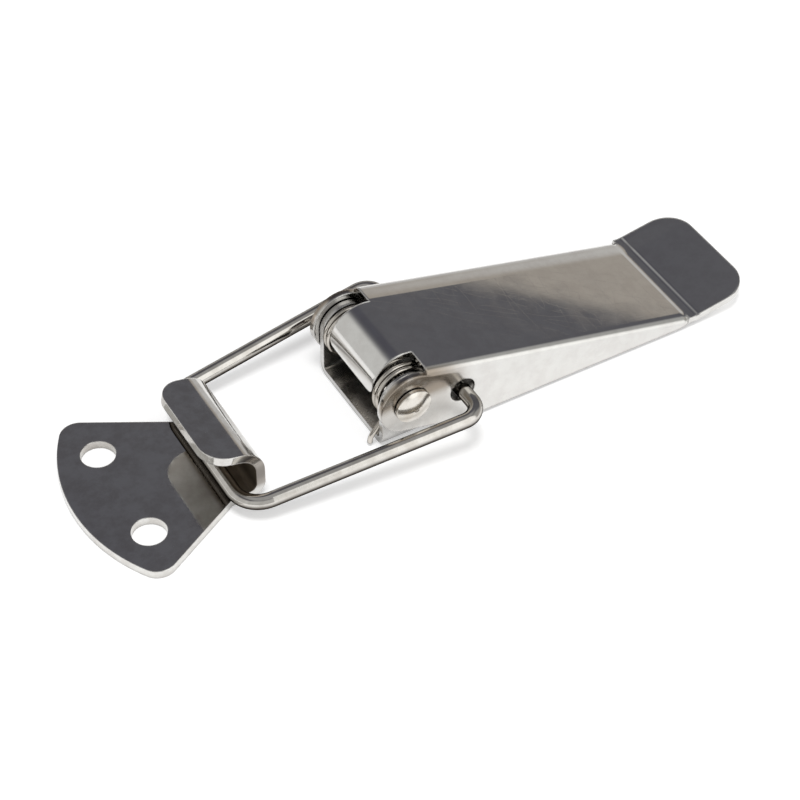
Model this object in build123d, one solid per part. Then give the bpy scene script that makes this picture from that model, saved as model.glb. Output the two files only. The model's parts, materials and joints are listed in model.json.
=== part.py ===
from build123d import *
from math import acos, asin, atan2, cos, degrees, hypot, radians, sin, sqrt, tan
import os

# Over-centre toggle latch in bright stainless steel.
# A U-shaped base carries a channel-section lever on one rivet. A bent wire bail hangs in the
# lever's flanges and hooks under the curled lip of a fan-shaped catch plate.
# Millimetres. Z is up from the mounting plane, +X runs along the lever to its finger tab and
# Y runs along the pivot axis. The origin is the middle of the base plate's two screw holes.
# Distances along X in the values below are from the pivot axis unless they say otherwise.

# Stock
base_sheet = 0.9
lever_sheet = 0.9
catch_sheet = 1.2
bail_wire = 2.0
spring_wire = 0.7

# Clearances
pivot_clearance = 0.05      # radial, lever bore on the rivet
ear_clearance = 0.02        # radial, rivet in the ears
side_clearance = 0.15       # ear to flange, and flange to rivet head
coil_clearance = 0.05       # spring coil to ear and tongue, and spring leg to the sheet it bears on
coil_gap = 0.58             # spring coil to the lower back edge of the notch
crossbar_lift = 0.3         # crossbar above the catch plate
flange_lift = 0.4           # lever flange above the mounting plane

# Base plate
pivot_height = 7.0
pivot_to_screws = 21.0
screw_pitch = 14.0
screw_hole = 4.5
ear_gap = 14.52             # between the inner faces of the ears
ear_radius = 3.55
ear_heel = 7.2              # rear end of the ear
base_bend = 0.6             # inside radius
base_tail = 36.0            # rear end of the tail
base_tail_width = 14.2
base_tail_corner = 5.0

# Lever
nose_radius = 4.45
notch_depth = 2.15          # back edge of the two notches
notch_height = 11.8         # outer face of the top, at the notches
lever_slope = 13.75         # degrees, fall of the top towards the tab
lever_bend = 0.4            # inside radius between top and flange
flange_heel = 8.5           # front end of the level lower edge
flange_length = 42.0
tongue_radius = 4.5         # outer face
tongue_lead = 0.2           # straight part in front of the notches
tongue_curl = 112.0         # degrees
tongue_corner = 1.2
fold_start = 43.45
fold_radius = 3.3           # upper face
tab_rise = 10.0             # degrees above the mounting plane
tab_length = 8.95           # flat part
tab_width = 18.3
tab_corner = 4.2

# Rivet
rivet_shank = 3.4
rivet_head = 4.95
rivet_head_height = 1.2
rivet_head_rim = 0.5        # straight part of the head's side
rivet_head_edge = 0.15      # rounding between the side and the dome

# Bail
bail_hole = 3.6
bail_hole_x = 7.5
bail_hole_z = 5.8
bail_length = 32.1          # from the hole axis to the crossbar axis
bail_front_width = 22.2     # between the leg axes, at the crossbar
bail_rear_width = 28.2      # between the leg axes, at the lever
bail_corner = 3.8           # on the wire's axis
bail_elbow = 2.3            # on the wire's axis
bail_end_reach = 0.9        # past the inner face of the flange
bail_end_chamfer = 0.2

# Springs
coil_pitch = 0.74
spring_leg = 9.5

# Catch plate
hook_slack = 2.25           # crossbar to the back of the hook
hook_width = 15.4
hook_heel = 1.0             # inside radius of the bend at the floor
hook_riser = 2.05           # straight part of the back
hook_curl = 2.8             # inside radius of the curl
hook_flare = 12.0           # degrees, rise of the lip to its tip
hook_lip = 4.3              # straight part of the lip
hook_lip_corner = 3.2
fan_half_angle = 28.8       # degrees
fan_radius = 23.5
fan_reach = 22.5            # from the back of the hook to the tip of the fan
fan_neck = 4.65             # from the back of the hook to the narrow end of the fan
fan_corner = 2.5
catch_hole = 4.5
catch_hole_pitch = 14.8
catch_hole_edge = 6.7       # hole centres to the tip of the fan

# Places that follow from the driving dimensions
ear_inner = ear_gap / 2
ear_outer = ear_inner + base_sheet
flange_inner = ear_outer + side_clearance
flange_outer = flange_inner + lever_sheet
crossbar_z = catch_sheet + crossbar_lift + bail_wire / 2
bail_drop = bail_hole_z - crossbar_z
bail_tilt = degrees(asin(bail_drop / bail_length))
crossbar_x = bail_hole_x - sqrt(bail_length ** 2 - bail_drop ** 2)
hook_back = crossbar_x + bail_wire / 2 + hook_slack + catch_sheet
fan_tip = hook_back - fan_reach


def polar(centre, radius, angle):
    """Point on a circle, at an angle in degrees."""
    return (centre[0] + radius * cos(radians(angle)), centre[1] + radius * sin(radians(angle)))


def top_height(x, drop):
    """Height, at x, of a plane parallel to the lever's outer face and a drop below it."""
    return notch_height - (x - notch_depth) * tan(radians(lever_slope)) - drop / cos(radians(lever_slope))


def across(face, width):
    """Solid of a face drawn in side view, centred on the middle plane of the latch."""
    return extrude(Plane.XZ * face, amount=width / 2, both=True)


def cross_bar(x, z, diameter, width):
    """Round bar along Y, for the rivet's shank and for the holes of ears and flanges."""
    return across(Pos(x, z) * Circle(diameter / 2), width)


def tangent_point(centre, radius, outside, side):
    """Point where a line from an outside point touches a circle, on side +1 or -1."""
    reach = hypot(outside[0] - centre[0], outside[1] - centre[1])
    bearing = degrees(atan2(outside[1] - centre[1], outside[0] - centre[0]))
    return polar(centre, radius, bearing + side * degrees(acos(radius / reach)))


# Ends of the flat part of the lever's outer face
notch_edge = (notch_depth, notch_height)
fold_edge = (fold_start, top_height(fold_start, 0))

# The springs' coils lie between the ears and the tongue, as large as the notches allow.
spring_offset = coil_clearance + spring_wire / 2
notch_reach = hypot(notch_depth, top_height(notch_depth, lever_sheet) - pivot_height)
coil_radius = notch_reach - coil_gap - spring_wire / 2
lower_end = (spring_leg, base_sheet + spring_offset)
upper_end = (spring_leg, top_height(spring_leg, lever_sheet + spring_offset))
lower_touch = tangent_point((0, pivot_height), coil_radius, lower_end, -1)
upper_touch = tangent_point((0, pivot_height), coil_radius, upper_end, 1)
coil_first = degrees(atan2(lower_touch[1] - pivot_height, lower_touch[0]))
coil_last = degrees(atan2(upper_touch[1] - pivot_height, upper_touch[0]))
coil_turns = 2 + (coil_first - coil_last) / 360
coil_start = ear_inner - spring_offset
coil_end = coil_start - coil_pitch * coil_turns
tongue_width = 2 * (coil_end - spring_offset)


def bent_strip(start, heading, thickness, moves):
    """Edge view of a bent sheet.

    It starts at a point on one face, with the thickness on the left of the heading.
    A move is ("run", length) or ("bend", inside radius, angle), with left turns positive.
    """
    point = start
    near_face = []
    far_face = []
    for move in moves:
        left = heading + 90
        if move[0] == "run":
            ahead = polar(point, move[1], heading)
            near_face.append(Line(point, ahead))
            far_face.append(Line(polar(point, thickness, left), polar(ahead, thickness, left)))
            point = ahead
            continue
        inside, angle = move[1], move[2]
        if angle > 0:
            near_radius = inside + thickness
            far_radius = inside
            centre = polar(point, near_radius, left)
            first = left + 180
        else:
            near_radius = inside
            far_radius = inside + thickness
            centre = polar(point, near_radius, left + 180)
            first = left
        near_face.append(CenterArc(centre, near_radius, first, angle))
        far_face.append(CenterArc(centre, far_radius, first, angle))
        point = polar(centre, near_radius, first + angle)
        heading += angle
    first_cap = Line(near_face[0] @ 0, far_face[0] @ 0)
    last_cap = Line(near_face[-1] @ 1, far_face[-1] @ 1)
    return make_face(Curve() + near_face + far_face + [first_cap, last_cap])


def base_plate():
    """Sheet folded to a U: two ears in front and a flat tail with two screw holes."""
    bend_outer = base_bend + base_sheet
    wall = pivot_height + ear_radius - bend_outer
    floor = 2 * (ear_outer - bend_outer)
    section = bent_strip(
        (-ear_outer, pivot_height + ear_radius),
        -90,
        base_sheet,
        [("run", wall), ("bend", base_bend, 90), ("run", floor), ("bend", base_bend, 90), ("run", wall)],
    )
    channel = Pos(-ear_radius, 0, 0) * extrude(Plane.YZ * section, amount=ear_radius + ear_heel)

    # Each ear is round on top and slopes down behind to its heel.
    heel = (ear_heel, bend_outer)
    touch = tangent_point((0, pivot_height), ear_radius, heel, 1)
    cheek = Polyline(
        (-ear_radius, 0),
        (-ear_radius, pivot_height),
        (0, pivot_height),
        touch,
        heel,
        (ear_heel, 0),
        close=True,
    )
    outline = make_face(cheek) + Pos(0, pivot_height) * Circle(ear_radius)
    body = channel & across(outline, 2 * ear_outer)

    tail = Rectangle(ear_radius + base_tail, base_tail_width, align=(Align.MIN, Align.CENTER))
    tail = fillet(tail.vertices().group_by(Axis.X)[-1], base_tail_corner)
    body += Pos(-ear_radius, 0, 0) * extrude(tail, base_sheet)

    screws = Pos(pivot_to_screws, 0, 0) * GridLocations(screw_pitch, 0, 2, 1)
    body -= screws * Cylinder(screw_hole / 2, 3 * base_sheet)
    return body - cross_bar(0, pivot_height, rivet_shank + 2 * ear_clearance, 3 * ear_outer)


def round_end(solid, heading, radius):
    """Round the two corners at the end of a strip whose last run has this heading."""
    side = polar((0, 0), 1, heading + 90)
    corners = solid.edges().filter_by(Axis((0, 0, 0), (side[0], 0, side[1])))
    return fillet(corners, radius)


def under_top(drop, half_width, bend, overrun):
    """Solid below a plane parallel to the lever's top, with its two long upper edges rounded."""
    inward = 270 - lever_slope
    front = polar(polar(notch_edge, drop, inward), overrun, 180 - lever_slope)
    rear = polar(polar(fold_edge, drop, inward), overrun, -lever_slope)
    side = Polyline(front, (front[0], -notch_height), (rear[0], -notch_height), rear, close=True)
    solid = across(make_face(side), 2 * half_width)
    top = solid.faces().sort_by(Axis.Z)[-1]
    return fillet(top.edges().filter_by(Axis.Y, reverse=True), bend)


def flange_outlines():
    """Side views of the channel behind the notches and of a flange's round nose."""
    centre = (0, pivot_height)
    heel = (flange_heel, flange_lift)
    touch = tangent_point(centre, nose_radius, heel, -1)
    channel = Polyline(
        (notch_depth, pivot_height),
        (0, pivot_height),
        touch,
        heel,
        (flange_length, flange_lift),
        (fold_start, fold_edge[1] - lever_sheet),
        (fold_start, notch_height),
        (notch_depth, notch_height),
        close=True,
    )
    nose = Polyline((0, pivot_height), touch, heel, (flange_heel, pivot_height), close=True)
    return make_face(channel), make_face(nose) + Pos(*centre) * Circle(nose_radius)


def lever():
    """Sheet folded to a channel, with round noses, a curled tongue, notches and a finger tab."""
    channel_outline, nose_outline = flange_outlines()
    channel = under_top(0, flange_outer, lever_bend + lever_sheet, 0)
    channel -= under_top(lever_sheet, flange_inner, lever_bend, lever_sheet)
    channel &= across(channel_outline, 2 * flange_outer)
    noses = across(nose_outline, 2 * flange_outer) - across(nose_outline, 2 * flange_inner)

    # In front of the notches the top runs on as a tongue that curls down over the rivet.
    overlap = lever_sheet
    tongue = bent_strip(
        polar(notch_edge, overlap, -lever_slope),
        180 - lever_slope,
        lever_sheet,
        [("run", overlap + tongue_lead), ("bend", tongue_radius - lever_sheet, tongue_curl)],
    )
    tongue = across(tongue, tongue_width)
    tongue = round_end(tongue, 180 - lever_slope + tongue_curl, tongue_corner)

    # Behind the flanges the top folds up as the finger tab.
    tab = bent_strip(
        polar(fold_edge, lever_sheet, 270 - lever_slope),
        -lever_slope,
        lever_sheet,
        [("bend", fold_radius, lever_slope + tab_rise), ("run", tab_length)],
    )
    tab = round_end(across(tab, tab_width), tab_rise, tab_corner)

    body = channel + noses + tongue + tab
    body -= cross_bar(0, pivot_height, rivet_shank + 2 * pivot_clearance, 3 * flange_outer)
    return body - cross_bar(bail_hole_x, bail_hole_z, bail_hole, 3 * flange_outer)


def pivot_rivet():
    """Plain shank between two low domed heads."""
    seat = flange_outer + side_clearance
    half = Polyline(
        (0, 0),
        (rivet_shank / 2, 0),
        (rivet_shank / 2, seat),
        (rivet_head / 2, seat),
        (rivet_head / 2, seat + rivet_head_rim),
    )
    dome_rise = rivet_head_height - rivet_head_rim
    dome_radius = (rivet_head ** 2 / 4 + dome_rise ** 2) / (2 * dome_rise)
    dome_turn = degrees(asin(rivet_head / 2 / dome_radius))
    dome = CenterArc((0, seat + rivet_head_height - dome_radius), dome_radius, 90 - dome_turn, dome_turn)
    axis = Line((0, seat + rivet_head_height), (0, 0))
    section = make_face(half + dome + axis)
    rim = section.vertices().group_by(Axis.X)[-1].sort_by(Axis.Y)[-1]
    shape = revolve(fillet(rim, rivet_head_edge), Axis.Y)
    return Pos(0, 0, pivot_height) * (shape + mirror(shape, Plane.XZ))


def bail():
    """Round wire bent to a tapered loop, open at the lever, with both ends turned inwards."""
    end = flange_inner - bail_end_reach
    path = FilletPolyline(
        (bail_length, -end),
        (bail_length, -bail_rear_width / 2),
        (0, -bail_front_width / 2),
        (0, bail_front_width / 2),
        (bail_length, bail_rear_width / 2),
        (bail_length, end),
        radius=[bail_elbow, bail_corner, bail_corner, bail_elbow],
    )
    wire = sweep(Plane(path @ 0, z_dir=path % 0) * Circle(bail_wire / 2), path)
    caps = wire.faces().filter_by(GeomType.PLANE)
    wire = chamfer(caps.edges(), bail_end_chamfer)
    return Pos(crossbar_x, 0, crossbar_z) * Rot(0, -bail_tilt, 0) * wire


def spring(side):
    """Torsion spring: a close coil with one leg on the base and one under the lever's top."""
    start = Plane(
        origin=(0, coil_start, pivot_height),
        x_dir=(cos(radians(coil_first)), 0, sin(radians(coil_first))),
        z_dir=(0, -1, 0),
    )
    coil = start * Helix(coil_pitch, coil_start - coil_end, coil_radius, lefthand=True)
    lower = Line((lower_end[0], coil_start, lower_end[1]), coil @ 0)
    upper = Line(coil @ 1, (upper_end[0], coil_end, upper_end[1]))
    path = Wire([lower, coil, upper])
    wire = sweep(Plane(path @ 0, z_dir=path % 0) * Circle(spring_wire / 2), path)
    return wire if side > 0 else mirror(wire, Plane.XZ)


def catch_plate():
    """Fan-shaped plate whose narrow end folds up and curls back as the hook."""
    heel_outer = hook_heel + catch_sheet
    neck = hook_back - fan_neck
    strip = bent_strip(
        (neck, 0),
        0,
        catch_sheet,
        [
            ("run", fan_neck - heel_outer),
            ("bend", hook_heel, 90),
            ("run", hook_riser),
            ("bend", hook_curl, 90 - hook_flare),
            ("run", hook_lip),
        ],
    )
    hook = round_end(across(strip, hook_width), 180 - hook_flare, hook_lip_corner)

    # The fan's straight sides spread from the neck to a round end.
    half = hook_width / 2
    spread = polar((0, 0), fan_reach, 180 - fan_half_angle)
    wedge = Polyline(
        (neck, -half),
        (neck, half),
        (neck + spread[0], half + spread[1]),
        (neck + spread[0], -half - spread[1]),
        close=True,
    )
    fan = make_face(wedge) & Pos(fan_tip + fan_radius, 0) * Circle(fan_radius)
    corners = [fan.vertices().sort_by(Axis.Y)[0], fan.vertices().sort_by(Axis.Y)[-1]]
    fan = fillet(corners, fan_corner)
    plate = extrude(fan, catch_sheet)
    holes = Pos(fan_tip + catch_hole_edge, 0, 0) * GridLocations(0, catch_hole_pitch, 1, 2)
    return hook + plate - holes * Cylinder(catch_hole / 2, 3 * catch_sheet)


pieces = {
    "base_plate": base_plate(),
    "lever": lever(),
    "pivot_rivet": pivot_rivet(),
    "spring_near": spring(-1),
    "spring_far": spring(1),
    "bail": bail(),
    "catch_plate": catch_plate(),
}

os.makedirs("parts", exist_ok=True)
for name, solid in pieces.items():
    solid = Pos(-pivot_to_screws, 0, 0) * solid
    export_step(solid, f"parts/{name}.step")
    size = solid.bounding_box().size
    print(f"{name}: {size.X:.2f} x {size.Y:.2f} x {size.Z:.2f} mm, {solid.volume:.1f} mm3")
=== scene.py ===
# %% [markdown]
# # Over-centre toggle latch in bright stainless steel
# A toggle latch pulls the two halves of a case together. A wire loop, the bail, hooks under the
# curled lip of a catch plate, and a lever on the other half draws it tight past a dead point.
#
# The solid model of its seven pieces is finished and packed, so this lesson is about the look.
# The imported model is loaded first. It is the fixed frame: metres, Z up from the mounting plane,
# +X along the lever to its finger tab, +Y along the pivot axis. Every piece made here is placed
# by the frame's own numbers.

# %% Load the frame
import json
import math

import bmesh
import bpy
import numpy as np
from mathutils import Matrix, Vector


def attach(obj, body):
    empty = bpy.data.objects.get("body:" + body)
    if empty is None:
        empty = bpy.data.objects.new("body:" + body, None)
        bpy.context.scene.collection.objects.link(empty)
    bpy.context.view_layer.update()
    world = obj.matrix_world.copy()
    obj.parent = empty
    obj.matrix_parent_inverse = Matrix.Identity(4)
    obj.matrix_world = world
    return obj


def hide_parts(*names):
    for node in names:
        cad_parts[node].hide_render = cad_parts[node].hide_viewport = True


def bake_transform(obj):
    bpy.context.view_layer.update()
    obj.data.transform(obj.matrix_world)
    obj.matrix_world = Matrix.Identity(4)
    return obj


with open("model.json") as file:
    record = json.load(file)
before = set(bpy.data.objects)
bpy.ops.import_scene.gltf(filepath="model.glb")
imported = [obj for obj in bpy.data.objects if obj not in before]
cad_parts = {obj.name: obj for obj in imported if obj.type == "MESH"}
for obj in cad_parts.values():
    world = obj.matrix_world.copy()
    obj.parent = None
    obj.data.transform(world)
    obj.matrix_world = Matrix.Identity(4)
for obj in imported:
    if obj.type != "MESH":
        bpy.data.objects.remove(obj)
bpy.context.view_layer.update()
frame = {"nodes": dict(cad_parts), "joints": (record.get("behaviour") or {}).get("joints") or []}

MM = 0.001
nodes = frame["nodes"]
pivot = Vector(frame["joints"][0]["pos_m"])
print("nodes:", sorted(nodes), "pivot (mm):", [round(v / MM, 2) for v in pivot])

# %% [markdown]
# ## Camera
# The latch lies flat and is seen from above its near left corner. A camera could be placed by
# hand and turned until it looks right. It is easier to reason about one that aims at a point:
# the aim lies just ahead of the pivot axis, and an azimuth, a height and a distance say where
# the camera stands. A long lens from far off keeps the perspective slight.

# %% Camera
CAMERA_AZIMUTH = math.radians(-31.07)
CAMERA_HEIGHT = math.radians(45.1)
CAMERA_ROLL = math.radians(1.09)
CAMERA_DISTANCE = 277.0 * MM
CAMERA_LENS = 96.08  # millimetres of lens on a 36 mm sensor
AIM = pivot + Vector((2.65 * MM, -1.93 * MM, -pivot.z))


def look_at(aim, azimuth, height, distance, roll):
    """Camera matrix: the aim point, plus the direction towards the camera times the distance.
    Azimuth 0 looks along +Y; height is the angle above the floor; roll turns the picture."""
    level = Vector((math.cos(azimuth), math.sin(azimuth), 0.0))
    flat = math.cos(height)
    back = Vector((math.sin(azimuth) * flat, -math.cos(azimuth) * flat, math.sin(height)))
    upright = back.cross(level)
    right = math.cos(roll) * level + math.sin(roll) * upright
    up = math.cos(roll) * upright - math.sin(roll) * level
    turn = Matrix((right, up, back)).transposed().to_4x4()
    return Matrix.Translation(aim + back * distance) @ turn


camera_data = bpy.data.cameras.new("camera")
camera_data.sensor_width = 36.0
camera_data.lens = CAMERA_LENS
camera_data.clip_start = 0.01
camera = bpy.data.objects.new("camera", camera_data)
camera.matrix_world = look_at(AIM, CAMERA_AZIMUTH, CAMERA_HEIGHT, CAMERA_DISTANCE, CAMERA_ROLL)
bpy.context.scene.collection.objects.link(camera)
bpy.context.scene.camera = camera
bpy.context.scene.view_settings.view_transform = "Standard"
print("camera at (mm):", [round(v / MM, 1) for v in camera.matrix_world.translation])

# %% [markdown]
# ## Colours and nodes
# Colours are written as sRGB hex, the way they are read off a screen. The shader works in linear
# light, so one function turns them.
#
# A material is a tree of nodes. Adding each by hand takes four or five lines, so one small
# function adds a node, sets its properties and fills its inputs in the order in which the node
# shows them. The kinds that come up often have a name of their own here, with their settings.
# The soft step is the workhorse: it draws cards of light, pressed lines, scratches, stains and
# painted shade.

# %% Colours and nodes
STEP = ("ShaderNodeMapRange", {"interpolation_type": "SMOOTHSTEP"})  # value, start, end, low, high
PLUS = ("ShaderNodeMath", {"operation": "ADD"})
MINUS = ("ShaderNodeMath", {"operation": "SUBTRACT"})
TIMES = ("ShaderNodeMath", {"operation": "MULTIPLY"})
OVER = ("ShaderNodeMath", {"operation": "DIVIDE"})
UNSIGNED = ("ShaderNodeMath", {"operation": "ABSOLUTE"})
LARGER = ("ShaderNodeMath", {"operation": "MAXIMUM"})
VECTOR_MINUS = ("ShaderNodeVectorMath", {"operation": "SUBTRACT"})
VECTOR_TIMES = ("ShaderNodeVectorMath", {"operation": "MULTIPLY"})
LENGTH = ("ShaderNodeVectorMath", {"operation": "LENGTH"})
DOT_PRODUCT = ("ShaderNodeVectorMath", {"operation": "DOT_PRODUCT"})
MIX_NUMBERS = ("ShaderNodeMix", {"data_type": "FLOAT"})  # share of the second, first, second
MIX_COLOURS = ("ShaderNodeMix", {"data_type": "RGBA"})
SPLIT = "ShaderNodeSeparateXYZ"
NOISE = "ShaderNodeTexNoise"
MAPPING = "ShaderNodeMapping"


def linear(hex_colour):
    """sRGB hex to linear RGBA: each channel goes through the sRGB curve."""
    channels = np.array([int(hex_colour[i:i + 2], 16) for i in (1, 3, 5)]) / 255.0
    low = channels / 12.92
    high = ((channels + 0.055) / 1.055) ** 2.4
    return (*np.where(channels <= 0.04045, low, high).tolist(), 1.0)


def join(tree, value, socket):
    """Feed an input: a number or a colour is set on it, an output is linked to it, and a node
    stands for the first output that it shows."""
    if isinstance(value, bpy.types.Node):
        value = next(output for output in value.outputs if output.enabled)
    if isinstance(value, bpy.types.NodeSocket):
        tree.links.new(value, socket)
    else:
        socket.default_value = value


def add(tree, kind, *values, **named):
    """Add a node. Its kind is a type, or a type with settings. Values feed the inputs that it
    shows, in their order, and named values feed the inputs of those names."""
    node_type, settings = kind if isinstance(kind, tuple) else (kind, {})
    node = tree.nodes.new(node_type)
    for setting, value in settings.items():
        setattr(node, setting, value)
    shown = [socket for socket in node.inputs if socket.enabled]
    for socket, value in zip(shown, values):
        join(tree, value, socket)
    for input_name, value in named.items():
        join(tree, value, node.inputs[input_name])
    return node


def all_of(tree, first, *others):
    """Product of several shares: it is high only where every one of them is."""
    for other in others:
        first = add(tree, TIMES, first, other)
    return first


print("a mid grey, #808080, is", round(linear("#808080")[0], 3), "in linear light")

# %% [markdown]
# ## Relief
# Cold-rolled stainless sheet comes off polished rolls and mirrors its surroundings almost
# sharply. What tells it from chrome is the relief: a faint waviness a few millimetres long that
# the press leaves, rolling lines along the strip, and thin handling scratches in all directions.
# An image could hold them, but a noise with a real size works from any distance. Each is a
# height in real millimetres; they are added up, and one bump node reads the sum.

# %% Relief
ALONG_STRIP = (0.06, 1.0, 1.0)  # stretch of the rolling lines
SCRATCHES = (  # spacing in mm, width as a share of the noise, turn, stretch
    (1.6, 0.006, 0.5, (0.15, 1.0, 1.0)),
    (2.3, 0.004, -0.9, (0.12, 1.0, 1.0)),
    (2.9, 0.004, 1.7, (0.2, 1.0, 1.0)),
)


def lumps(tree, place, period, depth, stretch=(1.0, 1.0, 1.0)):
    """Height in mm of a noise whose lumps are a period across, in mm, before the stretch."""
    scaled = add(tree, MAPPING, Vector=place, Scale=stretch)
    noise = add(tree, NOISE, scaled, Scale=1.0 / (period * MM), Detail=2.0)
    return add(tree, TIMES, noise, depth)


def scratches(tree, place, spacing, width, turn, stretch, depth):
    """Height of thin grooves: they run where a noise, stretched along one direction, passes
    through its middle value. They are drawn a little wider than real ones, so that they show."""
    turned = add(tree, MAPPING, Vector=place, Rotation=(0.0, 0.0, turn))
    drawn_out = add(tree, MAPPING, Vector=turned, Scale=stretch)
    noise = add(tree, NOISE, drawn_out, Scale=1.0 / (spacing * MM), Detail=0.0)
    off_middle = add(tree, UNSIGNED, add(tree, MINUS, noise, 0.5))
    return add(tree, STEP, off_middle, 0.0, width, -depth, 0.0)


print("scratch spacings (mm):", [row[0] for row in SCRATCHES])

# %% [markdown]
# ## Steel
# Every piece is bright austenitic stainless steel, made as sheet, wire or an upset pin, so one
# function builds them all from real sizes.
#
# Blanked edges are never perfectly sharp. A bevel node rounds them by up to a few tenths of a
# millimetre, which gives each cut edge its thin bright line. An occlusion node mixes a dark
# colour into bends, holes and gaps: partly the dirt and oxide that polishing never reaches there,
# partly painted shade where those places lie in shadow. Clouds of fingerprints and of pickling
# stain make the gloss uneven.
#
# What only one piece has is added by a function of its own, its marks. It gets the finish as a
# small dictionary, reads the place on the piece and the way the surface faces, and may change
# the colour, the gloss and the heights.

# %% Steel
CLOUD_SIZE = 4.0 * MM
CLOUD_EDGES = (0.35, 0.65)   # value of the noise where a dull cloud begins, and where it is full
MOTTLE_SIZE = 2.2 * MM
MOTTLE_EDGES = (0.35, 0.68)
DIRT_AND_SHADE_EDGES = (0.1, 0.75)     # share of open air where the metal is all grime and painted shade, and where it is clean


def steel(
    name, colours, roughness, waves, grain, scratch, edge, dirt_and_shade, marks=None, edge_tint="#FFFFFF"
):
    """Polished steel. Colours: clean, dull, and grime with painted shade for crevices. Roughness:
    of the glossiest and the dullest cloud. Waves and grain: period and depth in mm. Scratch, edge
    and dirt and shade: a depth, a rounding and a reach in mm. Edge tint: what the metal reflects
    at a glancing angle; a dark one paints shade towards the outline."""
    material = bpy.data.materials.new(name)
    material.use_nodes = True
    tree = material.node_tree
    shader = tree.nodes["Principled BSDF"]
    shader.inputs["Metallic"].default_value = 1.0
    shader.inputs["Specular Tint"].default_value = linear(edge_tint)
    clean, dull, grime_and_shade = (linear(colour) for colour in colours)
    spot = add(tree, "ShaderNodeTexCoord")
    place = spot.outputs["Object"]

    cloud = add(tree, NOISE, place, Scale=1.0 / CLOUD_SIZE, Detail=4.0)
    mottle = add(tree, NOISE, place, Scale=1.0 / MOTTLE_SIZE, Detail=5.0, Roughness=0.65)
    metal = add(tree, MIX_COLOURS, add(tree, STEP, mottle, *MOTTLE_EDGES), clean, dull)
    # Painted shade: the occlusion node darkens bends, holes and gaps towards the grime colour,
    # along with real dirt and oxide.
    open_air = add(tree, ("ShaderNodeAmbientOcclusion", {"samples": 8}), Distance=dirt_and_shade * MM)
    clean_and_unshaded = add(tree, STEP, open_air.outputs["AO"], *DIRT_AND_SHADE_EDGES)
    finish = {
        "place": place,
        "facing": spot.outputs["Normal"],
        "cloud": cloud,
        "colour": add(tree, MIX_COLOURS, clean_and_unshaded, grime_and_shade, metal),
        "gloss": add(tree, STEP, cloud, *CLOUD_EDGES, *roughness),
        "heights": [lumps(tree, place, *waves), lumps(tree, place, *grain, stretch=ALONG_STRIP)],
    }
    finish["heights"] += [scratches(tree, place, *line, scratch) for line in SCRATCHES]
    if marks:
        marks(tree, finish)

    total = finish["heights"][0]
    for height in finish["heights"][1:]:
        total = add(tree, PLUS, total, height)
    rounded = add(tree, ("ShaderNodeBevel", {"samples": 6}), Radius=edge * MM)
    bump = add(tree, "ShaderNodeBump", Height=total, Normal=rounded, Distance=MM)
    join(tree, finish["colour"], shader.inputs["Base Color"])
    join(tree, finish["gloss"], shader.inputs["Roughness"])
    join(tree, bump, shader.inputs["Normal"])
    return material


print("clouds of", CLOUD_SIZE / MM, "mm, mottle of", MOTTLE_SIZE / MM, "mm")

# %% [markdown]
# ## Marks of the lever
# The lever's top is drawn over a punch. It is crowned by a few hundredths of a millimetre across
# its width and falls a little more towards the far long bend, and the fold to the finger tab
# leaves a shallow pressed line on each side. All that is far too small to see as shape, yet on a
# mirror it bends the reflections, so it goes into the relief and not into the mesh.
#
# The flanks slid along the die, which left them duller than the top. Round the rivet a brown
# patch is painted on them: a painted reflection of the shaded bail wire beside the flank.

# %% Marks of the lever
CROWN = 0.0007    # fall of the crowned top, mm per square mm from the middle
EDGE_FALL = 0.16  # extra fall towards the far long bend, in mm
EDGE_START, EDGE_STOP = 5.6, 8.6  # mm from the middle plane
FOLD_LINES = ((42.7, 0.6, -0.05), (44.3, 0.9, 0.26))  # start behind the pivot, width, rise in mm
# Painted reflection: a brown patch round the rivet stands in for the shaded wire seen in the flank.
PAINTED_REFLECTION_COLOUR = "#94897C"
PAINTED_REFLECTION_SHARE = 0.95                  # share of the painted reflection where it is strongest
PAINTED_REFLECTION_REACH = (4.5 * MM, 9.5 * MM)  # distance from the pivot where it fades
PAINTED_REFLECTION_SIDE = (8.2 * MM, 8.9 * MM)   # distance from the middle plane where it begins
PAINTED_REFLECTION_LEVEL = (6.2 * MM, 8.2 * MM)  # height below which a quarter of it is left
PAINTED_REFLECTION_CLOUD = (0.3, 0.5)            # value of the noise where it begins, and where it is full
FLANK = (8.7 * MM, 9.0 * MM)        # distance from the middle plane where a flank begins
FLANK_END = (22.0 * MM, 24.0 * MM)  # place along the lever where the finger tab begins
SLID_ROUGHNESS = 0.2


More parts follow.
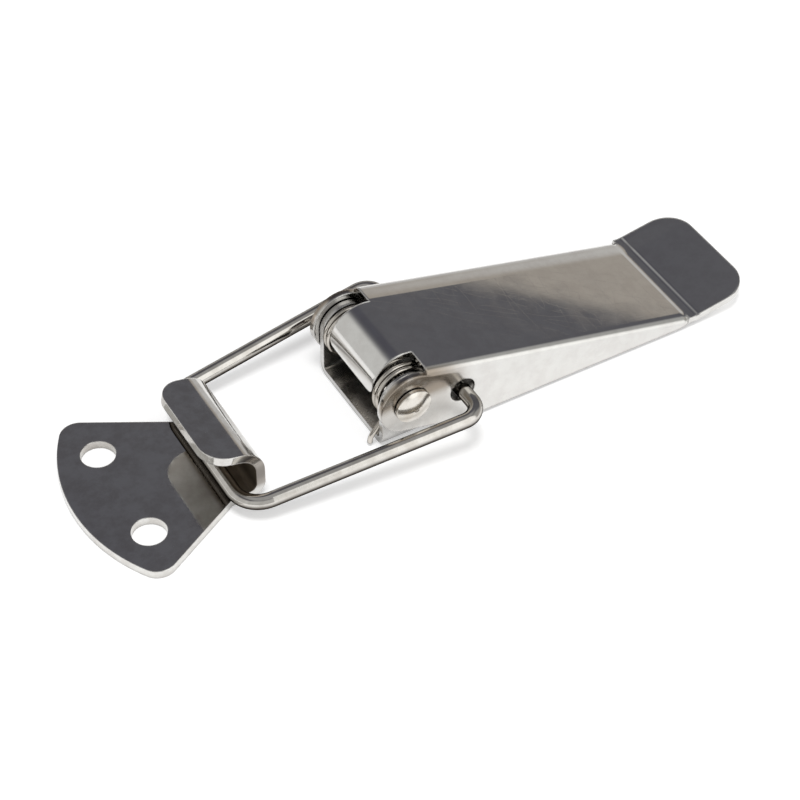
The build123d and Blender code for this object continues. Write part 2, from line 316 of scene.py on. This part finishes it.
def lever_marks(tree, finish):
    """Painted reflection and dull flanks, then the crown, the far edge and the lines at the fold.
    """
    along, across, level = add(tree, SPLIT, finish["place"]).outputs
    side = add(tree, UNSIGNED, across)
    aside = add(tree, VECTOR_MINUS, finish["place"], tuple(pivot))
    reach = add(tree, LENGTH, add(tree, VECTOR_TIMES, aside, (1.0, 0.0, 1.0)))
    # Painted reflection on the flanks, round the rivet.
    painted_reflection = all_of(
        tree,
        add(tree, STEP, reach, *PAINTED_REFLECTION_REACH, PAINTED_REFLECTION_SHARE, 0.0),
        add(tree, STEP, finish["cloud"], *PAINTED_REFLECTION_CLOUD),
        add(tree, STEP, side, *PAINTED_REFLECTION_SIDE),
        add(tree, STEP, level, *PAINTED_REFLECTION_LEVEL, 0.25, 1.0),
    )
    flank, before_tab = add(tree, STEP, side, *FLANK), add(tree, STEP, along, *FLANK_END, 1.0, 0.0)
    slid = all_of(tree, flank, before_tab)
    finish["colour"] = add(tree, MIX_COLOURS, painted_reflection, finish["colour"], linear(PAINTED_REFLECTION_COLOUR))
    finish["gloss"] = add(tree, MIX_NUMBERS, slid, finish["gloss"], SLID_ROUGHNESS)

    across_mm = add(tree, OVER, across, MM)
    crown = add(tree, TIMES, add(tree, TIMES, across_mm, across_mm), -CROWN)
    far_edge = add(tree, STEP, across_mm, EDGE_START, EDGE_STOP, 0.0, -EDGE_FALL)
    finish["heights"] += [crown, far_edge]
    for start, width, rise in FOLD_LINES:
        first = pivot.x + start * MM
        finish["heights"].append(add(tree, STEP, along, first, first + width * MM, 0.0, rise))


print("fall of the crown at 9 mm from the middle (mm):", round(CROWN * 9.0 ** 2, 3))

# %% [markdown]
# ## Marks of the catch plate and of the bail
# The inside of the curl of the hook is painted dark: painted shade, with old grease. In side
# view the hollow is a box with soft sides, and in it only the faces that look at the middle of
# the curl are darkened, so the outside of the same sheet stays bright. The lip's underside was
# never polished. The cut ends of the curl are stretched and grey, as the shear left them.
#
# On the bail, the underside of the wire is painted dark: painted shade and a painted dark
# reflection of the paper in shadow under it. The normal is read in the piece's own coordinates,
# so the painted shade stays on the wire when it swings.

# %% Marks of the catch plate and of the bail
HOLLOW_FRONT, HOLLOW_BACK = -46.2 * MM, -41.5 * MM
HOLLOW_BOTTOM, HOLLOW_TOP = 0.9 * MM, 7.05 * MM
CURL_MIDDLE = (-44.9 * MM, 0.0, 4.2 * MM)
FACES_IN = (0.3 * MM, 1.0 * MM)        # how far a face looks towards the middle of the curl
# Painted shade: the hollow of the hook is darkened, along with old grease.
GREASE_AND_SHADE_COLOUR, GREASE_AND_SHADE_SHARE = "#736656", 0.95
CUT_FACE = (0.5, 0.9)                  # share of the normal along the pivot axis
CURL_START = (-45.5 * MM, -43.0 * MM)  # place along the plate where the curl begins
ABOVE_FAN = (1.2 * MM, 2.2 * MM)       # height where the sheet has left the mounting plane
CUT_COLOUR, CUT_SHARE = "#A09992", 0.9
UNDERSIDE = (-0.9, -0.5)               # upward share of the normal
UNPOLISHED_ROUGHNESS = 0.6
WIRE_UNDERSIDE = (-0.15, 0.4)          # upward share of the normal
# Painted shade: the underside of the bail wire is darkened in colour.
WIRE_SHADE_COLOUR, WIRE_SHADE_SHARE = "#48423C", 0.9


def hook_marks(tree, finish):
    """Painted shade and grease in the hollow of the hook, its grey cut ends and its unpolished
    underside.
    """
    along, _, level = add(tree, SPLIT, finish["place"]).outputs
    _, endwise, upward = add(tree, SPLIT, finish["facing"]).outputs
    inward = add(tree, VECTOR_MINUS, CURL_MIDDLE, finish["place"])
    towards = add(tree, DOT_PRODUCT, inward, finish["facing"])
    # Painted shade in the hollow, with old grease.
    grease_and_shade = all_of(
        tree,
        add(tree, STEP, along, HOLLOW_FRONT, HOLLOW_FRONT + 1.0 * MM),
        GREASE_AND_SHADE_SHARE,
        add(tree, STEP, along, HOLLOW_BACK, HOLLOW_BACK + 0.2 * MM, 1.0, 0.0),
        add(tree, STEP, level, HOLLOW_BOTTOM, HOLLOW_BOTTOM + 0.4 * MM),
        add(tree, STEP, level, HOLLOW_TOP, HOLLOW_TOP + 0.2 * MM, 1.0, 0.0),
        add(tree, STEP, towards, *FACES_IN),
    )
    sheared = all_of(
        tree,
        add(tree, STEP, add(tree, UNSIGNED, endwise), *CUT_FACE, 0.0, CUT_SHARE),
        add(tree, STEP, along, *CURL_START),
        add(tree, STEP, level, *ABOVE_FAN),
    )
    finish["colour"] = add(tree, MIX_COLOURS, grease_and_shade, finish["colour"], linear(GREASE_AND_SHADE_COLOUR))
    finish["colour"] = add(tree, MIX_COLOURS, sheared, finish["colour"], linear(CUT_COLOUR))
    unpolished = add(tree, LARGER, grease_and_shade, add(tree, STEP, upward, *UNDERSIDE, 1.0, 0.0))
    finish["gloss"] = add(tree, MIX_NUMBERS, unpolished, finish["gloss"], UNPOLISHED_ROUGHNESS)


def wire_marks(tree, finish):
    """Painted shade where the wire's surface looks down."""
    upward = add(tree, SPLIT, finish["facing"]).outputs["Z"]
    shaded_underside = add(tree, STEP, upward, *WIRE_UNDERSIDE, WIRE_SHADE_SHARE, 0.0)
    finish["colour"] = add(tree, MIX_COLOURS, shaded_underside, finish["colour"], linear(WIRE_SHADE_COLOUR))


print("hollow of the hook (mm):", round((HOLLOW_BACK - HOLLOW_FRONT) / MM, 2), "long and",
      round((HOLLOW_TOP - HOLLOW_BOTTOM) / MM, 2), "high")

# %% [markdown]
# ## Finishes
# Six finishes of the same metal:
#
# - the catch plate: cold-rolled sheet, glossy, with faint waves;
# - the lever: the same sheet, drawn, so it is the glossiest and the smoothest;
# - the base: sheet that was only rolled, a little duller, with dirt and painted grey shade between
#   its ears;
# - the rivet: upset cold, so its head has soft hammered lumps, with dirt and painted shade round
#   it;
# - the bail: drawn wire, which stays greyer than sheet, with painted shade below and at its
#   outline;
# - the springs: hard drawn spring wire, dull, with painted black shade between turns and at the
#   outline.

# %% Finishes
WIRE_OUTLINE_SHADE_TINT = "#404040"  # painted shade: a dark tint darkens the wires' reflections towards their outline

finishes = {
    "catch_plate": steel(
        "bright_rolled_stainless_sheet", ("#DCDBD8", "#CBC8C4", "#3A322C"), (0.05, 0.11),
        waves=(5.0, 0.004), grain=(0.25, 0.0004), scratch=0.0006, edge=0.2, dirt_and_shade=1.5,
        marks=hook_marks,
    ),
    "lever": steel(
        "bright_drawn_stainless_lever", ("#DBDAD7", "#D4D2CF", "#4A4039"), (0.03, 0.07),
        waves=(5.0, 0.003), grain=(0.25, 0.0003), scratch=0.0003, edge=0.4, dirt_and_shade=2.0,
        marks=lever_marks,
    ),
    "base_plate": steel(
        "bright_rolled_stainless_base", ("#CFCECC", "#C1BFBC", "#5E5D5C"), (0.2, 0.3),
        waves=(5.0, 0.004), grain=(0.25, 0.0004), scratch=0.0006, edge=0.13, dirt_and_shade=5.0,
    ),
    "pivot_rivet": steel(
        "upset_stainless_rivet", ("#DEDAD3", "#C9C1B6", "#33261D"), (0.1, 0.2),
        waves=(1.5, 0.01), grain=(0.3, 0.001), scratch=0.001, edge=0.08, dirt_and_shade=1.5,
    ),
    "bail": steel(
        "bright_drawn_stainless_wire", ("#D2CFCA", "#C2BEB8", "#77706A"), (0.05, 0.1),
        waves=(4.0, 0.004), grain=(0.2, 0.0008), scratch=0.0008, edge=0.05, dirt_and_shade=1.0,
        marks=wire_marks, edge_tint=WIRE_OUTLINE_SHADE_TINT,
    ),
}
spring_steel = steel(
    "drawn_stainless_spring_wire", ("#D2CDC6", "#BDB7AE", "#1E1713"), (0.12, 0.2),
    waves=(2.0, 0.002), grain=(0.15, 0.001), scratch=0.0005, edge=0.04, dirt_and_shade=1.2,
    edge_tint=WIRE_OUTLINE_SHADE_TINT,
)
finishes["spring_near"] = finishes["spring_far"] = spring_steel
for node_name, material in finishes.items():
    nodes[node_name].data.materials.clear()
    nodes[node_name].data.materials.append(material)
print("finishes:", {node_name: material.name for node_name, material in finishes.items()})

# %% [markdown]
# ## Springs
# Two small torsion springs sit on the rivet inside the ears and push the lever open. Each is
# drawn wire wound on a mandrel: a straight leg lies on the base, the wire makes one and a half
# turns, and the other leg presses under the lever's top.
#
# The rigid springs of the imported model can't wind up as the lever turns. Each is made again
# here as a plain tube swept along the wire's line. First comes the line, seen from the side,
# about the pivot.

# %% The line of a spring
WIRE_RADIUS = 0.35  # in mm, as are all sizes of the springs
COIL_RADIUS = 3.5
COIL_START = 6.86   # distance of the base leg from the middle plane
COIL_END = 5.75     # distance of the lever leg from the middle plane
TURNS = 1.4967
BASE_LEG_END, LEVER_LEG_END = (9.5, -5.7), (9.5, 1.66)  # X and Z from the pivot axis
COIL_POINTS, LEG_POINTS = 161, 9


def leaves_coil(leg_end, side):
    """Angle at which a straight leg leaves the coil: the bearing of its end plus or minus the
    arc cosine of coil radius over distance."""
    reach = math.hypot(*leg_end)
    return math.atan2(leg_end[1], leg_end[0]) + side * math.acos(COIL_RADIUS / reach)


def spring_line(side):
    """Centre line: a straight leg, a helix about the pivot axis and a second straight leg.
    Along the helix the angle falls evenly while y moves evenly from the ear to the tongue."""
    share = np.linspace(0.0, 1.0, COIL_POINTS)
    angle = leaves_coil(BASE_LEG_END, -1) - share * TURNS * 2.0 * np.pi
    y = COIL_START + share * (COIL_END - COIL_START)
    helix = np.stack([COIL_RADIUS * np.cos(angle), y, COIL_RADIUS * np.sin(angle)], axis=1)
    lower = np.array([BASE_LEG_END[0], COIL_START, BASE_LEG_END[1]])
    upper = np.array([LEVER_LEG_END[0], COIL_END, LEVER_LEG_END[1]])
    run = np.linspace(0.0, 1.0, LEG_POINTS)[:-1, None]
    base_leg = lower + run * (helix[0] - lower)
    lever_leg = (upper + run * (helix[-1] - upper))[::-1]
    return np.concatenate([base_leg, helix, lever_leg]) * (1.0, side, 1.0)


steps = np.linalg.norm(np.diff(spring_line(1), axis=0), axis=1)
print("wire of one spring (mm):", round(steps.sum(), 1))

# %% [markdown]
# The tube is a grid of two parameters, the place along the line and the angle round it. All its
# points are worked out at once as one array. The wire was cut off with a small broken edge, so
# its end rings are a little smaller and a flat face closes each.

# %% A tube along a line
TUBE_SIDES = 16
BROKEN_EDGE = 0.08  # in mm


def tube(name, line, radius):
    """Tube round a line in mm: each ring is the point plus radius (cos a * sideways + sin a * up),
    with sideways square to the line and to Y. The end rings shrink for a broken edge."""
    ahead = np.gradient(line, axis=0)
    ahead /= np.linalg.norm(ahead, axis=1, keepdims=True)
    sideways = np.cross(ahead, (0.0, 1.0, 0.0))
    sideways /= np.linalg.norm(sideways, axis=1, keepdims=True)
    up = np.cross(sideways, ahead)
    before, after = line[:1] - ahead[:1] * BROKEN_EDGE, line[-1:] + ahead[-1:] * BROKEN_EDGE
    line = np.concatenate([before, line, after])
    sideways, up = (np.concatenate([v[:1], v, v[-1:]]) for v in (sideways, up))
    size = np.full(len(line), radius)
    size[[0, -1]] -= BROKEN_EDGE
    angle = np.linspace(0.0, 2.0 * np.pi, TUBE_SIDES, endpoint=False)[None, :, None]
    round_it = np.cos(angle) * sideways[:, None] + np.sin(angle) * up[:, None]
    points = (line[:, None] + size[:, None, None] * round_it).reshape(-1, 3) * MM + np.array(pivot)

    ring, spot = np.meshgrid(np.arange(len(line) - 1), np.arange(TUBE_SIDES), indexing="ij")
    here, there = ring * TUBE_SIDES + spot, ring * TUBE_SIDES + (spot + 1) % TUBE_SIDES
    quads = np.stack([here, there, there + TUBE_SIDES, here + TUBE_SIDES], axis=-1).reshape(-1, 4)
    corners = list(range(len(points)))
    faces = quads.tolist() + [corners[:TUBE_SIDES], corners[-TUBE_SIDES:]]
    mesh = bpy.data.meshes.new(name)
    mesh.from_pydata(points.tolist(), [], faces)
    shape = bmesh.new()
    shape.from_mesh(mesh)
    bmesh.ops.recalc_face_normals(shape, faces=shape.faces)
    shape.to_mesh(mesh)
    shape.free()
    mesh.shade_smooth()
    piece = bpy.data.objects.new(name, mesh)
    bpy.context.scene.collection.objects.link(piece)
    return piece


print("a ring has", TUBE_SIDES, "points")

# %% [markdown]
# Each spring takes the place of its rigid one.

# %% Two springs
for node_name, side in (("spring_far", 1), ("spring_near", -1)):
    piece = tube(node_name + "_wire", spring_line(side), WIRE_RADIUS)
    piece.data.materials.append(spring_steel)
    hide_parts(node_name)
    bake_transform(piece)
    print(piece.name, len(piece.data.polygons), "faces")

# %% [markdown]
# The near spring also has a toe: the trimmed end of its wire runs down in front of the base and
# turns under just above the mounting plane. It is one short S of the same wire, a cubic Bezier
# curve in the plane of the base leg: four knots seen from the side, about the pivot, each
# weighted by the share along the curve.

# %% Spring toe
TOE_KNOTS = ((-2.35, -2.6), (-3.6, -4.9), (-4.7, -5.2), (-4.65, -6.6))  # X and Z, in mm
TOE_POINTS = 33

share = np.linspace(0.0, 1.0, TOE_POINTS)[:, None]
rest = 1 - share
weights = [rest ** 3, 3 * share * rest ** 2, 3 * share ** 2 * rest, share ** 3]
bend = np.concatenate(weights, axis=1) @ np.array(TOE_KNOTS)
toe_line = np.stack([bend[:, 0], np.full(TOE_POINTS, -COIL_START), bend[:, 1]], axis=1)
toe = tube("spring_toe", toe_line, WIRE_RADIUS)
toe.data.materials.append(spring_steel)
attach(toe, "base_body")
toe_points = np.empty(3 * len(toe.data.vertices))
toe.data.vertices.foreach_get("co", toe_points)
print(toe.name, "lowest point (mm):", round(toe_points[2::3].min() / MM, 2))

# %% [markdown]
# ## Floor
# A sheet of white paper. A white floor could be had with more light, but that would bleach the
# metal too. So part of the paper's light is its own glow, which reads as clean white, and part
# is real bounced light, so that the latch still drops a soft grey shadow where wires and sheet
# come close to the paper.
#
# The latch's own shade makes the paper behind the hook dimmer. In the hook's mirror that shade
# is what sets its underside off, so only reflections see a dimmer paper there.

# %% Floor
PAPER_SIZE = 4.0        # in metres, so wide that its edge is never seen
PAPER_DROP = 0.05 * MM  # keeps it clear of the undersides of the plates
PAPER_GLOW = 0.40
PAPER_WHITE = (0.8, 0.8, 0.8, 1)
SHADED_WHITE = (0.85, 0.83, 0.81, 1)
SHADED_SIDE = (4.0 * MM, 10.0 * MM)  # where the shade begins, along +Y
SHADED_LENGTH = (  # along +X: start, end, share before, share after
    (-62.0 * MM, -55.0 * MM, 0.0, 1.0),
    (-32.0 * MM, -27.0 * MM, 1.0, 0.0),
)

bpy.ops.mesh.primitive_plane_add(size=PAPER_SIZE, location=(0, 0, -PAPER_DROP))
floor = bpy.context.object
floor.name = "floor"
paper = bpy.data.materials.new("white_paper")
paper.use_nodes = True
tree = paper.node_tree
tree.nodes.clear()
glow = add(tree, "ShaderNodeEmission", Color=(1, 1, 1, 1), Strength=PAPER_GLOW)
bounced = add(tree, "ShaderNodeBsdfDiffuse", Color=PAPER_WHITE)
lit = add(tree, "ShaderNodeAddShader", glow, bounced)
shaded = add(tree, "ShaderNodeBsdfDiffuse", Color=SHADED_WHITE)
along, across, _ = add(tree, SPLIT, add(tree, "ShaderNodeTexCoord").outputs["Object"]).outputs
lengthwise = [add(tree, STEP, along, *limits) for limits in SHADED_LENGTH]
behind = all_of(tree, add(tree, STEP, across, *SHADED_SIDE), *lengthwise)
mirrored = add(tree, "ShaderNodeLightPath").outputs["Is Glossy Ray"]
both = add(tree, "ShaderNodeMixShader", add(tree, TIMES, behind, mirrored), lit, shaded)
add(tree, "ShaderNodeOutputMaterial", both)
floor.data.materials.append(paper)
print("floor:", tuple(round(v, 2) for v in floor.dimensions))

# %% [markdown]
# ## Studio
# Polished steel has almost no colour of its own: it shows the room. The room could be built from
# planes and lamps, but it is quicker to paint it on the sky, as soft cards. Each card is a patch
# between two azimuths and two heights with blurred sides, and they are laid over one another: a
# dark back wall, a lit ceiling, a warm low wall behind the latch, a window at the left and a
# large bright light at the front right. The tops of the lever and of the fan look at the dark
# wall; the rear of the lever's top just catches the warm one.
#
# Only reflections and bounced light see the cards. Seen directly, the sky is plain white.

# %% Studio
BACK_WALL = (0.130, 0.130, 0.145, 1)
# Angles are in degrees, and azimuths run from +Y towards +X.
CARDS = (  # name, middle azimuth, half width, lowest, highest, side blur, end blur, colour
    ("ceiling", 0, 181, 62, 91, 1, 7, (0.42, 0.42, 0.42, 1)),
    ("side wall", 118, 24, -12, 58, 12, 10, (0.46, 0.46, 0.45, 1)),
    ("warm wall", 60, 62, -12, 23.1, 8, 0.4, (0.435, 0.40, 0.36, 1)),
    ("horizon", 60, 62, -12, 17, 8, 4, (0.62, 0.61, 0.60, 1)),
    ("dark corner", 3, 16, 47, 62, 8, 4, (0.098, 0.098, 0.118, 1)),
    ("window", -85, 60, -12, 47, 12, 8, (0.70, 0.70, 0.69, 1)),
    ("room behind", -160, 45, -30, 55, 10, 10, (0.60, 0.60, 0.59, 1)),
    ("front right light", 154, 24, -20, 68, 6, 5, (1.4, 1.4, 1.38, 1)),
)
SKY_WHITE = (1, 1, 1, 1)
DEGREES = math.degrees(1.0)
ARC_TANGENT = ("ShaderNodeMath", {"operation": "ARCTAN2"})
ARC_SINE = ("ShaderNodeMath", {"operation": "ARCSINE"})
WRAP = ("ShaderNodeMath", {"operation": "WRAP"})  # value, highest, lowest

world = bpy.data.worlds.new("studio")
bpy.context.scene.world = world
world.use_nodes = True
tree = world.node_tree
tree.nodes.clear()
direction = add(tree, "ShaderNodeTexCoord").outputs["Generated"]
east, north, height = add(tree, SPLIT, direction).outputs
azimuth = add(tree, TIMES, add(tree, ARC_TANGENT, east, north), DEGREES)
elevation = add(tree, TIMES, add(tree, ARC_SINE, height), DEGREES)
room = BACK_WALL
for name, middle, half, low, high, side_blur, end_blur, colour in CARDS:
    off = add(tree, WRAP, add(tree, MINUS, azimuth, float(middle)), 180.0, -180.0)
    beside = add(tree, UNSIGNED, off)
    mask = all_of(
        tree,
        add(tree, STEP, beside, half - side_blur, half + side_blur, 1.0, 0.0),
        add(tree, STEP, elevation, low - end_blur, low + end_blur),
        add(tree, STEP, elevation, high - end_blur, high + end_blur, 1.0, 0.0),
    )
    room = add(tree, MIX_COLOURS, mask, room, colour)
rays = add(tree, "ShaderNodeLightPath").outputs
direct = add(tree, LARGER, rays["Is Camera Ray"], rays["Is Transmission Ray"])
seen = add(tree, MIX_COLOURS, direct, room, SKY_WHITE)
background = add(tree, "ShaderNodeBackground", Color=seen, Strength=1.0)
add(tree, "ShaderNodeOutputWorld", background)
print("studio cards:", [card[0] for card in CARDS])

# %% [markdown]
# ## Lamp
# One broad lamp overhead lights the paper and makes the soft shadows. A small lamp would make
# hard ones. It is hidden from reflections, where the cards already stand for the lights.

# %% Lamp
LAMP_PLACE = Vector((-0.1, -0.1, 0.6))  # in metres
LAMP_SIZE = 0.22
LAMP_POWER = 1.7

lamp_data = bpy.data.lights.new("overhead", "AREA")
lamp_data.shape = "DISK"
lamp_data.size = LAMP_SIZE
lamp_data.energy = LAMP_POWER
lamp = bpy.data.objects.new("overhead", lamp_data)
lamp.location = LAMP_PLACE
lamp.rotation_euler = (-LAMP_PLACE).to_track_quat("-Z", "Y").to_euler()
lamp.visible_glossy = False
bpy.context.scene.collection.objects.link(lamp)
print("lamp:", LAMP_POWER, "W, aimed at the middle of the base")
